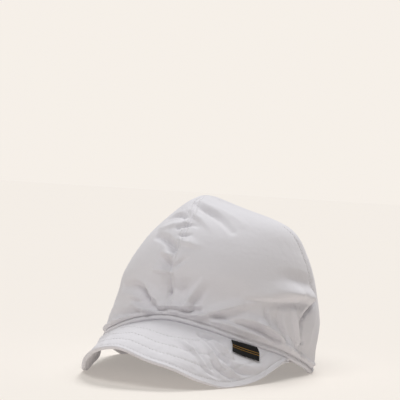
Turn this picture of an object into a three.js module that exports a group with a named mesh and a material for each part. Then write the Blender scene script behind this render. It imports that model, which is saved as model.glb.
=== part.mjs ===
// A soft four-panel working cap of white cotton, resting on a surface.
// Millimetres, +Z up. The cap faces -Y and the wearer's left is +X. It rests on the back of its hem
// and on the brim's two turned-down sides. Angles are degrees round the head, 0 at the front and
// positive to the wearer's left. A way runs up the cloth, from 0 at the hem to 1 at the apex.
import * as THREE from 'three';

// Hem, where the head goes in
const hemLength = 194;
const hemWidth = 169;
const hemFrontShare = 0.52;
const hemRise = 43.6;
const hemRestAngle = 97;
const bandHeight = 5;
const bandThickness = 2.6;
const bandProud = 0.6;

// Crown
const crownHeight = 141;
const apexForward = 14;
const apexLean = 5;
const clothThickness = 1.5;
const seamGap = 0.3;
const seamDip = 1.2;
const seamHalfWidth = 8;
const panelTopWay = 0.99;
const uprightWay = 0.85;
const foldHalfWidth = 20;
const foldHeight = 4;

// Brim
const brimReach = 71;
const brimHalfAngle = 69;
const brimThickness = 2.8;
const brimTuck = 1.8;
const brimUprightShare = 0.15;
const brimRippleHalfWidth = 7;
const brimRippleHeight = 1.3;
const rippleFadeShare = 0.2;

// Label
const labelWidth = 23;
const labelDrop = 14.5;
const labelThickness = 0.9;
const labelAngle = 41;
const labelSetback = 2.4;
const labelSwing = 3;
const labelTilt = 2;
const labelClearance = 0.5;

// Finish
const cottonColour = 0xcfcdd0;
const cottonRoughness = 0.9;
const labelColour = 0x141416;
const labelRoughness = 0.7;

// Mesh steps
const panelAcross = 18;
const panelUp = 24;
const seamCrowding = 0.09;
const hemCrowding = 1.15;
const bandAround = 88;
const bandUp = 3;
const brimAcross = 44;
const brimOut = 10;
const labelAcross = 8;
const labelOut = 3;

const table = (columns, rows) =>
  rows.map((row) => Object.fromEntries(columns.map((name, i) => [name, row[i]])));

// The hem's height above the surface, as a share of hemRise. At is a share of hemRestAngle.
const HEM = table(['at', 'height'], [
  [0.00, 1.00],
  [0.21, 0.883],
  [0.41, 0.677],
  [0.62, 0.472],
  [0.82, 0.22],
  [1.00, 0.00],
]);

// Level sections of the crown. At is the way up the cloth, height a share of the rise from the hem
// to the apex, and each reach a share of the hem's own reach to that side.
const SECTIONS = table(['at', 'height', 'front', 'left', 'back', 'right'], [
  [0.00, 0.00, 1.00, 1.00, 1.00, 1.00],
  [0.20, 0.22, 0.95, 1.03, 1.03, 0.91],
  [0.40, 0.44, 0.95, 1.02, 1.00, 0.79],
  [0.60, 0.67, 0.79, 0.93, 0.84, 0.57],
  [0.75, 0.83, 0.54, 0.76, 0.64, 0.35],
  [0.90, 0.94, 0.31, 0.24, 0.35, 0.14],
  [1.00, 1.00, 0.00, 0.00, 0.00, 0.00],
]);

// The line that each seam follows at the hem and at the apex, and how many degrees it strays from
// that line on its way up the cloth.
const seamLines = { front: 0, left: 90, back: 180, right: 270 };
const SEAMS = table(['at', 'front', 'left', 'back', 'right'], [
  [0.00, 0, -9, 0, 0],
  [0.17, 0, -13, 1, 2],
  [0.28, 0, -10, -1, 3],
  [0.38, 0, 3, -2, 0],
  [0.60, 3, 2, 2, -2],
  [0.80, 4, 0, 2, 0],
  [1.00, 0, 0, 0, 0],
]);

// Folds, dents and gathers of the crown, each along a path through three places on the cloth.
// Width is a share of foldHalfWidth. Height is a share of foldHeight: ridges above 0, creases below.
const FOLDS = table(
  ['angleA', 'wayA', 'angleB', 'wayB', 'angleC', 'wayC', 'width', 'height'], [
    // slack gathered at the top of the front
    [7, 0.90, 21, 0.84, 26, 0.74, 0.45, 0.60],
    [4, 0.82, 14, 0.77, 25, 0.68, 0.35, -0.50],
    [-5, 0.78, 7, 0.715, 18, 0.65, 0.35, 0.45],
    // dents beside the front seam
    [-27, 0.71, -15, 0.736, -3, 0.73, 0.35, -0.45],
    [-24, 0.65, -9, 0.665, 1, 0.69, 0.35, 0.40],
    [-21, 0.585, -9, 0.545, 0, 0.49, 0.42, -0.65],
    [-8, 0.44, -2, 0.405, 1, 0.365, 0.35, -0.50],
    // the soft shelf on the wearer's left: a bulge, and the crease under it
    [40, 0.30, 56, 0.325, 72, 0.35, 0.50, 0.60],
    [57, 0.39, 70, 0.39, 90, 0.40, 0.50, 0.65],
    [37, 0.25, 52, 0.27, 77, 0.33, 0.40, -0.75],
    // gathers that hang from the shelf to the end of the brim
    [59, 0.28, 59, 0.19, 65, 0.10, 0.28, -0.55],
    [69, 0.31, 70, 0.23, 75, 0.12, 0.25, 0.50],
    [31, 0.12, 40, 0.15, 49, 0.143, 0.30, 0.50],
    [48, 0.145, 58, 0.116, 68, 0.055, 0.28, 0.65],
    [36, 0.10, 47, 0.106, 59, 0.062, 0.28, -0.65],
    // folds above the middle of the brim
    [17, 0.07, 25, 0.148, 36, 0.235, 0.30, 0.60],
    [18, 0.06, 24, 0.096, 36, 0.16, 0.28, -0.70],
    [9, 0.13, 11, 0.21, 17, 0.33, 0.30, 0.50],
    [-7, 0.10, 0, 0.124, 10, 0.13, 0.28, 0.50],
    [1, 0.27, 6, 0.235, 9, 0.28, 0.45, -0.40],
    [-38, 0.28, -23, 0.256, -16, 0.20, 0.30, -0.60],
    [-18, 0.22, -12, 0.14, -3, 0.068, 0.30, -0.75],
    [-26, 0.146, -18, 0.10, -9, 0.06, 0.25, 0.45],
    // the side seam on the wearer's left, drawn in under the bulge of the back panel
    [96, 0.39, 81, 0.29, 77, 0.21, 0.30, -0.60],
    [99, 0.36, 89, 0.28, 86, 0.17, 0.50, 0.50],
    [100, 0.22, 108, 0.30, 118, 0.38, 0.90, 0.30],
    // the wearer's right
    [-58, 0.30, -74, 0.26, -92, 0.24, 0.50, -0.55],
    [-48, 0.17, -62, 0.13, -74, 0.07, 0.40, 0.25],
    [-84, 0.42, -104, 0.36, -120, 0.26, 0.60, 0.40],
    [-80, 0.13, -86, 0.18, -88, 0.24, 0.30, 0.45],
    // the back
    [138, 0.22, 170, 0.30, 205, 0.24, 0.60, -0.65],
    [142, 0.34, 172, 0.42, 200, 0.36, 0.75, 0.55],
    [150, 0.07, 153, 0.14, 155, 0.21, 0.30, 0.50],
    [198, 0.07, 200, 0.14, 206, 0.22, 0.30, 0.50],
    [160, 0.66, 178, 0.58, 205, 0.55, 0.55, -0.45],
    [222, 0.15, 236, 0.24, 252, 0.30, 0.55, -0.50],
  ]);

// The brim from its right end, at -1, to its left end, at 1. At is a share of brimHalfAngle. Reach
// is how far the edge lies ahead of the joint and aside how far to its left, as shares of brimReach.
// Height is the edge's underside, as a share of the hem's height there. Bow is how far the cloth
// bellies out between the joint and the edge, as a share of that distance.
const BRIM = table(['at', 'reach', 'aside', 'height', 'bow'], [
  [-1.00, 0.06, 0.010, 0.80, 0.03],
  [-0.90, 0.20, 0.065, 0.28, 0.02],
  [-0.80, 0.37, 0.055, 0.07, 0.02],
  [-0.68, 0.58, 0.040, -0.02, 0.01],
  [-0.56, 0.76, 0.030, 0.16, 0.00],
  [-0.46, 0.88, 0.030, 0.39, 0.01],
  [-0.30, 0.99, 0.030, 0.56, 0.03],
  [-0.12, 1.01, 0.030, 0.60, 0.05],
  [0.10, 1.01, 0.030, 0.45, 0.05],
  [0.30, 0.99, 0.030, 0.345, 0.05],
  [0.46, 0.88, 0.030, 0.14, 0.04],
  [0.62, 0.67, 0.030, -0.03, 0.03],
  [0.80, 0.37, 0.030, 0.14, 0.03],
  [1.00, 0.06, 0.010, 0.86, 0.03],
]);

// Pulled ripples of the brim, each from a place A to a place B. Across is the place's share of
// brimHalfAngle, and out runs from 0 at the joint to 1 at the edge.
const RIPPLES = table(['acrossA', 'outA', 'acrossB', 'outB', 'height'], [
  [0.20, 0.25, 0.42, 0.80, 0.9],
  [0.30, 0.10, 0.55, 0.70, -0.8],
  [0.42, 0.10, 0.68, 0.65, 0.8],
  [-0.30, 0.20, -0.55, 0.75, 0.7],
  [-0.12, 0.15, -0.20, 0.85, -0.5],
  [-0.62, 0.25, -0.74, 0.80, -0.6],
]);

// Small steps for reading a slope off a face.
const angleStep = 0.5;
const shareStep = 0.01;

const radians = THREE.MathUtils.degToRad;
const smoothstep = THREE.MathUtils.smoothstep;
const lerp = THREE.MathUtils.lerp;
const vertical = new THREE.Vector3(0, 0, 1);

// A smooth curve through one column of a table. An even curve is mirrored at its first row.
function column(rows, name, at, even = false) {
  const last = rows.length - 1;
  let i = 0;
  while (i < last - 1 && at >= rows[i + 1].at) {
    i += 1;
  }
  const a = rows[i];
  const b = rows[i + 1];
  const mirrored = { at: 2 * rows[0].at - rows[1].at, [name]: rows[1][name] };
  const start = even ? mirrored : a;
  const before = i > 0 ? rows[i - 1] : start;
  const after = rows[Math.min(i + 2, last)];
  const span = b.at - a.at;
  const slopeA = (b[name] - before[name]) / (b.at - before.at) * span;
  const slopeB = (after[name] - a[name]) / (after.at - a.at) * span;
  const s = (at - a.at) / span;
  const s2 = s * s;
  const s3 = s2 * s;
  return (2 * s3 - 3 * s2 + 1) * a[name] + (s3 - 2 * s2 + s) * slopeA
    + (3 * s2 - 2 * s3) * b[name] + (s3 - s2) * slopeB;
}

// 1 at the middle of a fold, falling smoothly to 0 at its half width.
function bump(distance, halfWidth) {
  const share = Math.min(distance / halfWidth, 1);
  return (1 - share * share) ** 2;
}

function distanceToPath(point, path) {
  const segment = new THREE.Line3();
  const foot = new THREE.Vector3();
  let nearest = Infinity;
  for (let i = 0; i + 1 < path.length; i += 1) {
    segment.set(path[i], path[i + 1]);
    segment.closestPointToPoint(point, true, foot);
    nearest = Math.min(nearest, foot.distanceTo(point));
  }
  return nearest;
}

function hemHeight(angle) {
  const fromFront = Math.abs(THREE.MathUtils.euclideanModulo(angle + 180, 360) - 180);
  return hemRise * column(HEM, 'height', Math.min(fromFront / hemRestAngle, 1), true);
}

// The crown's outer face before its folds.
function crownBase(angle, way) {
  const ahead = Math.cos(radians(angle));
  const aside = Math.sin(radians(angle));
  const frontReach = hemLength * hemFrontShare;
  const reachAlong = ahead > 0
    ? frontReach * column(SECTIONS, 'front', way)
    : (hemLength - frontReach) * column(SECTIONS, 'back', way);
  const reachAside = hemWidth / 2 * column(SECTIONS, aside > 0 ? 'left' : 'right', way);
  const foot = hemHeight(angle);
  return new THREE.Vector3(
    aside * reachAside - apexLean * way * way,
    -ahead * reachAlong - apexForward * way * way,
    foot + (crownHeight - foot) * column(SECTIONS, 'height', way),
  );
}

// The direction square to a face, from its slopes at a place across it and a share up it.
function squareTo(face, across, acrossStep, up) {
  const low = Math.max(up - shareStep, 0);
  const high = Math.min(up + shareStep, 1);
  const slopeAcross = face(across + acrossStep, up).sub(face(across - acrossStep, up));
  const slopeUp = face(across, high).sub(face(across, low));
  return slopeAcross.cross(slopeUp).normalize();
}

function lengthPerDegree(angle, way) {
  const span = crownBase(angle + angleStep, way).distanceTo(crownBase(angle - angleStep, way));
  return span / (2 * angleStep);
}

// The way at a small height above the hem.
function wayAt(height, angle) {
  const steepness = SECTIONS[1].height / SECTIONS[1].at;
  return height / (steepness * (crownHeight - hemHeight(angle)));
}

function seamAngle(side, way) {
  return seamLines[side] + column(SEAMS, side, way);
}

function distanceToSeam(angle, way) {
  const degrees = Object.keys(seamLines).map((side) => {
    const turn = angle - seamAngle(side, way);
    return Math.abs(THREE.MathUtils.euclideanModulo(turn + 180, 360) - 180);
  });
  return Math.min(...degrees) * lengthPerDegree(angle, way);
}

// A fold's path, bent through its three places.
const foldPaths = FOLDS.map((fold) => {
  const steps = 8;
  const path = [];
  for (let i = 0; i <= steps; i += 1) {
    const s = i / steps;
    const shareA = 1 - 3 * s + 2 * s * s;
    const shareB = 4 * s - 4 * s * s;
    const shareC = 2 * s * s - s;
    path.push(crownBase(
      shareA * fold.angleA + shareB * fold.angleB + shareC * fold.angleC,
      shareA * fold.wayA + shareB * fold.wayB + shareC * fold.wayC,
    ));
  }
  return path;
});

// How far the cloth stands out from its base at folds and in from it at seams. The hem is smooth.
function crownRelief(angle, way) {
  const point = crownBase(angle, way);
  let height = 0;
  FOLDS.forEach((fold, i) => {
    const distance = distanceToPath(point, foldPaths[i]);
    height += fold.height * foldHeight * bump(distance, fold.width * foldHalfWidth);
  });
  height -= seamDip * bump(distanceToSeam(angle, way), seamHalfWidth);
  return height * smoothstep(way, wayAt(bandHeight, angle), wayAt(3 * bandHeight, angle));
}

// The crown's outward direction. It turns upright at the apex, where the four tips meet.
function crownOutward(angle, way) {
  const square = squareTo(crownBase, angle, angleStep, way);
  return square.lerp(vertical, smoothstep(way, uprightWay, panelTopWay)).normalize();
}

function crownPoint(angle, way, offset) {
  const outward = crownOutward(angle, way);
  return crownBase(angle, way).addScaledVector(outward, crownRelief(angle, way) + offset);
}

// A closed solid between two faces, each a function that gives a point for shares across and up.
// A ring meets itself across.
function sheetSolid(across, up, outer, inner, ring = false) {
  const points = [];
  const columns = ring ? across : across + 1;
  for (const face of [outer, inner]) {
    for (let i = 0; i < columns; i += 1) {
      for (let j = 0; j <= up; j += 1) {
        points.push(...face(i / across, j / up).toArray());
      }
    }
  }
  const rows = up + 1;
  const outside = (i, j) => (i % columns) * rows + j;
  const inside = (i, j) => columns * rows + outside(i, j);
  const triangles = [];
  const quad = (a, b, c, d) => triangles.push(a, b, c, a, c, d);
  for (let i = 0; i < across; i += 1) {
    for (let j = 0; j < up; j += 1) {
      quad(outside(i, j), outside(i + 1, j), outside(i + 1, j + 1), outside(i, j + 1));
      quad(inside(i, j), inside(i, j + 1), inside(i + 1, j + 1), inside(i + 1, j));
    }
    quad(outside(i + 1, 0), outside(i, 0), inside(i, 0), inside(i + 1, 0));
    quad(outside(i, up), outside(i + 1, up), inside(i + 1, up), inside(i, up));
  }
  for (let j = 0; !ring && j < up; j += 1) {
    quad(outside(0, j), outside(0, j + 1), inside(0, j + 1), inside(0, j));
    quad(outside(across, j + 1), outside(across, j), inside(across, j), inside(across, j + 1));
  }
  const geometry = new THREE.BufferGeometry();
  geometry.setAttribute('position', new THREE.Float32BufferAttribute(points, 3));
  geometry.setIndex(triangles);
  geometry.computeVertexNormals();
  return geometry;
}

function piece(name, geometry, colour, roughness) {
  const material = new THREE.MeshStandardMaterial({ color: colour, roughness, metalness: 0 });
  const mesh = new THREE.Mesh(geometry, material);
  mesh.name = name;
  return mesh;
}

// One quarter of the crown, from one seam to the next. Its columns crowd towards the seams and its
// rows towards the hem.
function crownPanel(name, firstSeam, lastSeam) {
  const start = (way) => seamAngle(firstSeam, way);
  const wholeTurn = lastSeam === 'front' ? 360 : 0;
  const end = (way) => seamAngle(lastSeam, way) + wholeTurn;
  const face = (offset) => (across, up) => {
    const share = across - seamCrowding * Math.sin(2 * Math.PI * across);
    const foot = wayAt(bandHeight + seamGap, lerp(start(0), end(0), share));
    const way = lerp(foot, panelTopWay, up ** hemCrowding);
    const untrimmed = lerp(start(way), end(way), share);
    const trim = seamGap / 2 / lengthPerDegree(untrimmed, way);
    return crownPoint(lerp(start(way) + trim, end(way) - trim, share), way, offset);
  };
  const geometry = sheetSolid(panelAcross, panelUp, face(0), face(-clothThickness));
  return piece(name, geometry, cottonColour, cottonRoughness);
}

// The hem turned up and stitched: a flat ring, level where it rests.
function hemBand() {
  const face = (inset) => (around, up) => {
    const angle = 360 * around;
    const belly = bandProud * lerp(0.5, 1, 4 * up * (1 - up));
    const point = crownPoint(angle, up * wayAt(bandHeight, angle), belly - inset);
    if (up === 0) {
      point.z = hemHeight(angle);
    }
    return point;
  };
  const geometry = sheetSolid(bandAround, bandUp, face(0), face(bandThickness), true);
  return piece('hem_band', geometry, cottonColour, cottonRoughness);
}

// The place under the hem band where the brim starts, on the brim's underside.
function brimJoint(share) {
  const angle = share * brimHalfAngle;
  const joint = crownPoint(angle, 0, bandProud);
  joint.z = hemHeight(angle) - seamGap - brimThickness;
  return joint;
}

function brimLine(share, out) {
  const joint = brimJoint(share);
  const edge = joint.clone();
  edge.x += brimReach * column(BRIM, 'aside', share);
  edge.y -= brimReach * column(BRIM, 'reach', share);
  edge.z = hemHeight(share * brimHalfAngle) * column(BRIM, 'height', share);
  return joint.lerp(edge, out);
}

function brimLength(share) {
  return brimLine(share, 0).distanceTo(brimLine(share, 1));
}

const ripplePaths = RIPPLES.map((ripple) => [
  brimLine(ripple.acrossA, ripple.outA),
  brimLine(ripple.acrossB, ripple.outB),
]);

// The brim's upward direction. It is vertical at the joint, where the brim lies under the hem.
function brimUp(share, out) {
  const square = squareTo(brimLine, share, shareStep, out).negate();
  return square.lerp(vertical, 1 - smoothstep(out, 0, brimUprightShare)).normalize();
}

// The underside, bellied and rippled, and flat where it meets the surface.
function brimUnderside(share, out) {
  const line = brimLine(share, out);
  const bow = column(BRIM, 'bow', share) * brimLength(share);
  let height = bow * 4 * out * (1 - out);
  RIPPLES.forEach((ripple, i) => {
    const fade = smoothstep(out, 0, rippleFadeShare);
    const distance = distanceToPath(line, ripplePaths[i]);
    height += fade * ripple.height * brimRippleHeight * bump(distance, brimRippleHalfWidth);
  });
  const point = line.addScaledVector(brimUp(share, out), height);
  point.z = Math.max(point.z, 0);
  return point;
}

function brimTop(share, out, offset = 0) {
  return brimUnderside(share, out).addScaledVector(brimUp(share, out), brimThickness + offset);
}

// The quilted brim. Its first row is tucked under the hem band.
function brim() {
  const face = (place) => (across, up) => {
    const share = 2 * across - 1;
    const row = up * brimOut;
    const point = place(share, Math.max(row - 1, 0) / (brimOut - 1));
    if (row < 1) {
      const outward = crownOutward(share * brimHalfAngle, 0).setZ(0).normalize();
      point.addScaledVector(outward, -brimTuck);
    }
    return point;
  };
  const geometry = sheetSolid(brimAcross, brimOut, face(brimUnderside), face(brimTop));
  return piece('brim', geometry, cottonColour, cottonRoughness);
}

// The woven tab, sewn to the brim near its joint and lying on it. Its free end swings a little to
// the wearer's left, and it tilts up on that side.
function label() {
  const perDegree = lengthPerDegree(labelAngle, 0);
  const face = (offset) => (across, up) => {
    const aside = labelWidth * (across - 0.5) + labelSwing * up;
    const share = (labelAngle + aside / perDegree) / brimHalfAngle;
    const setback = labelSetback - labelTilt * (across - 0.5);
    const out = (setback + labelDrop * up) / brimLength(share);
    return brimTop(share, out, offset);
  };
  const geometry = sheetSolid(labelAcross, labelOut,
    face(labelClearance), face(labelClearance + labelThickness));
  return piece('label', geometry, labelColour, labelRoughness);
}

const cap = new THREE.Group();
cap.add(
  crownPanel('crown_front_left', 'front', 'left'),
  crownPanel('crown_back_left', 'left', 'back'),
  crownPanel('crown_back_right', 'back', 'right'),
  crownPanel('crown_front_right', 'right', 'front'),
  hemBand(),
  brim(),
  label(),
);

// The origin is on the surface, under the middle of the whole cap.
const middle = new THREE.Box3().setFromObject(cap).getCenter(new THREE.Vector3());
cap.position.set(-middle.x, -middle.y, 0);

export default cap;
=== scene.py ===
# A soft four-panel working cap of white cotton, resting on a surface by itself.
# Lengths are in millimetres until a mesh is made, and every mesh is in metres. The cap faces -Y and
# the wearer's left is +X. Angles are degrees round the head, 0 at the front and positive to the
# wearer's left. A way runs up the crown's cloth, from 0 at the hem to 1 at the apex.
import math

import bmesh
import bpy
import numpy as np
from mathutils import Matrix, Vector, noise


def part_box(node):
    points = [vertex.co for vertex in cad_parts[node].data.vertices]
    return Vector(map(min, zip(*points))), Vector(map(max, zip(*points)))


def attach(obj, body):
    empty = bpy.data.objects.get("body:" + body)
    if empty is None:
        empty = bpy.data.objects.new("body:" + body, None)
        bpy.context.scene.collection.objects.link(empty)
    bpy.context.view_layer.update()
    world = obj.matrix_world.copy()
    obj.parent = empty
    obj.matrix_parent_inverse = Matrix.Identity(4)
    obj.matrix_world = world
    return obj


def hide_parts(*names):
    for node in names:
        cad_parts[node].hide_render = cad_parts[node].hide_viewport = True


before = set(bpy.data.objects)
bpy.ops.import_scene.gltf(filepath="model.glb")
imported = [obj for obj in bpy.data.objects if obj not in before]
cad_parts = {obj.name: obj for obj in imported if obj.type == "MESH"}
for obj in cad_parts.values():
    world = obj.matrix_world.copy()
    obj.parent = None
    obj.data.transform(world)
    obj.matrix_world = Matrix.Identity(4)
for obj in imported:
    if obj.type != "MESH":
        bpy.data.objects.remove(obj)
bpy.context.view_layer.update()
mm = 0.001

# The crown.
# Four petals of thin white cotton are sewn edge to edge. Nothing stiffens or lines them, so the
# cloth slumps towards the wearer's left and creases where the seams and the hem draw it in.
hem_length = 194
hem_width = 169
hem_front_share = 0.52
hem_rise = 43.6
hem_rest_angle = 97
crown_height = 141
apex_forward = 14
apex_lean = 5
cloth_thickness = 1.3
band_height = 4.2

# A panel's mesh is finer towards its seams and towards the hem.
panel_columns = 150
panel_rows = 180
seam_crowding = 0.09
hem_crowding = 1.15

# Each seam lies in a wide dip with a narrow groove, and the stitches beside it in a small groove.
seam_dip = 1.2
seam_dip_reach = 8
seam_groove = 0.7
seam_groove_reach = 1.6
stitch_offset = 2.2
stitch_groove = 0.25
stitch_groove_reach = 1.1

# The hem holds the cloth flat. Folds and puckers are whole from these heights above it, and what is
# small fades out again on this stretch of the way, at the apex.
folds_whole_at = 1.9 * band_height
puckers_whole_at = 1.6 * band_height
apex_zone = (0.93, 0.99)

# The cloth is crumpled in coarse and fine ridges. The coarse ones calm down to a share of their depth
# away from the pull of the seams and the hem.
crumple_size = 17
crumple_depth = 0.5
fine_crumple_size = 6
fine_crumple_depth = 0.16
crumple_level = 0.7
calm_share = 0.25
seam_pull = 26
hem_pull = 30

# The soft swell above the hem is uneven by this share.
swell_unevenness = 0.15

# Puckers that the seams draw in: the ways that they start from, how far they stray from these, how far
# their ends rise or fall on the way, and their lengths, half widths and greatest height.
pucker_ways = np.arange(0.12, 0.9, 0.052)
pucker_scatter = 0.02
pucker_slant = 0.03
pucker_lengths = (7, 17)
pucker_widths = (2.0, 4.2)
pucker_height = 0.7

# Gathers that rise from the hem: the degrees between them, how far they rise on the way, how many
# degrees they lean over, and their half widths and heights.
gather_spacings = (4, 9)
gather_rises = (0.03, 0.10)
gather_slant = 5
gather_widths = (2.4, 5.0)
gather_heights = (0.4, 1.2)


def rows_of(names, rows):
    """A table as one array for each named column."""
    return dict(zip(names.split(), np.array(rows, float).T))


# The hem's height, as a share of hem_rise. At is a share of hem_rest_angle.
HEM = rows_of("at height", [
    [0, 1],
    [0.21, 0.883],
    [0.41, 0.677],
    [0.62, 0.472],
    [0.82, 0.22],
    [1, 0],
])

# Level sections. Height is a share of the rise from hem to apex, a reach a share of the hem's.
SECTIONS = rows_of("at height front left back right", [
    [0, 0, 1, 1, 1, 1],
    [0.2, 0.22, 0.95, 1.03, 1.03, 0.91],
    [0.4, 0.44, 0.95, 1.02, 1, 0.79],
    [0.6, 0.67, 0.79, 0.93, 0.84, 0.57],
    [0.75, 0.83, 0.54, 0.76, 0.64, 0.35],
    [0.9, 0.94, 0.31, 0.24, 0.35, 0.14],
    [1, 1, 0, 0, 0, 0],
])

# The crown's cloth swells over the hem band's stitching. Height is how far it swells, centre how far
# above the band, and reach how far to each side. At is an angle.
SWELL = rows_of("at height centre reach", [
    [-180, 1.4, 2.6, 3],
    [-90, 1.4, 2.4, 3],
    [-50, 2.8, 2.4, 2.6],
    [-15, 3, 2.5, 2.7],
    [5, 3.4, 3.2, 3],
    [22, 4.4, 4.6, 4],
    [40, 4.2, 4.8, 4],
    [58, 3, 3.8, 3.6],
    [90, 1.4, 2.6, 3],
    [180, 1.4, 2.6, 3],
])

# How many degrees each seam strays from its quarter line on its way up.
STRAY = rows_of("at front left back right", [
    [0, 0, -9, 0, 0],
    [0.17, 0, -13, 1, 2],
    [0.28, 0, -10, -1, 3],
    [0.38, 0, 3, -2, 0],
    [0.6, 3, 2, 2, -2],
    [0.8, 4, 0, 2, 0],
    [1, 0, 0, 0, 0],
])

FOLD_COLUMNS = "angle_a way_a angle_b way_b angle_c way_c width height_a height_b height_c lean"

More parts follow.
